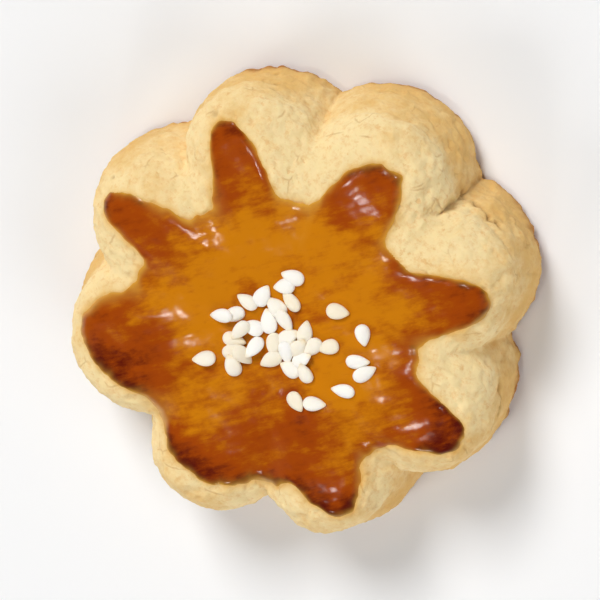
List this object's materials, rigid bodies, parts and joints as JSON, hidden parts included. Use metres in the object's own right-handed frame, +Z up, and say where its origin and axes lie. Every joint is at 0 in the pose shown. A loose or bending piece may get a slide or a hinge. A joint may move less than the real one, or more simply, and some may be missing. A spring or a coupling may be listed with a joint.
{
  "type": "tea cookie",
  "caption": "Thick flower-shaped biscuit with round lobes, a flat base, an egg-glazed top and a sprinkle of sesame seeds.",
  "frame": {"origin": "middle of the bounding box, on the flat base", "axes": "+Z up out of the glazed top, -Y towards the side whose wall shows in the picture"},
  "size_m": [0.0472, 0.0482, 0.014],
  "materials": {
    "biscuit": "matte baked dough, pale gold, browner at the foot",
    "glaze": "glossy brushed egg glaze, amber to red-brown",
    "sesame": "satin hulled sesame seed, ivory white"
  },
  "bodies": {
    "root": {"cookie": "biscuit"}
  },
  "joints": []
}
